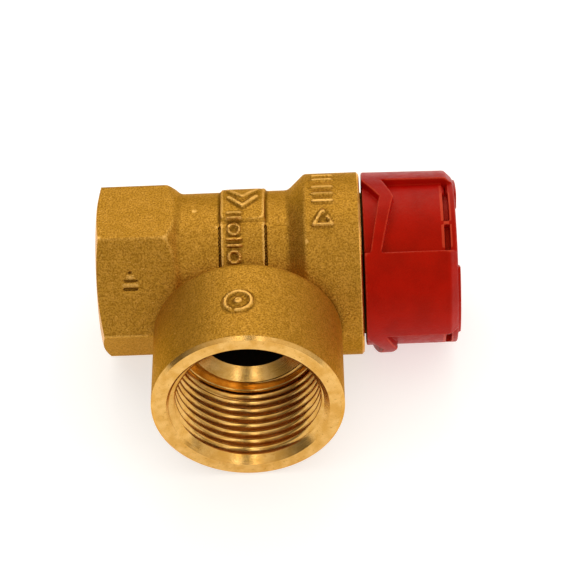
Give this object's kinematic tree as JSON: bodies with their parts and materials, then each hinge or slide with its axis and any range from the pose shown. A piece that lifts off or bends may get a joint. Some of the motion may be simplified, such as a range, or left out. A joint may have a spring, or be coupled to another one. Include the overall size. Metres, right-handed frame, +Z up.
{
  "type": "pressure relief valve",
  "caption": "Brass angle pressure relief valve with a hexagonal threaded inlet, a threaded side outlet, a sprung diaphragm and disc, and a red test cap that turns on ramps to lift the disc.",
  "frame": {"origin": "under the middle of the valve's box, on the surface that the outlet boss lies on", "axes": "+X along the main axis from the inlet to the cap, -Y out of the side outlet, +Z up"},
  "size_m": [0.0618, 0.0514, 0.032],
  "materials": {
    "cast_brass": "as cast, with machined faces",
    "turned_brass": "turned",
    "steel": "zinc plated",
    "rubber": "moulded",
    "white_plastic": "moulded",
    "red_plastic": "moulded satin"
  },
  "bodies": {
    "housing": {"valve_body": "cast_brass", "bonnet": "turned_brass", "adjusting_nut": "turned_brass", "spindle_bush": "white_plastic", "upper_spring_plate": "steel", "slip_ring": "white_plastic", "diaphragm": "rubber", "spring": "steel"},
    "spindle": {"spindle": "turned_brass", "disc_holder": "turned_brass", "seal_disc": "rubber", "disc_washer": "steel", "disc_screw": "steel", "diaphragm_plate": "steel", "spring_plate": "steel", "lock_nut": "steel", "cap_washer": "steel", "cap_screw": "steel"},
    "cap": {"cap": "red_plastic", "cover_disc": "red_plastic"}
  },
  "joints": [
    {"name": "stem_lift", "type": "slide", "parent": "housing", "child": "spindle", "axis": [1, 0, 0], "range_m": [0, 0.002], "stiffness_N_per_m": 8000, "springref_m": -0.004, "deforming": ["spring", "diaphragm"]},
    {"name": "cap_turn", "type": "hinge", "parent": "spindle", "child": "cap", "pos_m": [0.0252, 0.009, 0.016], "axis": [-1, 0, 0], "range_deg": [0, 40]}
  ],
  "couplings": [
    {"joint": "cap_turn", "follows": "stem_lift", "rad_per_m": 349}
  ]
}
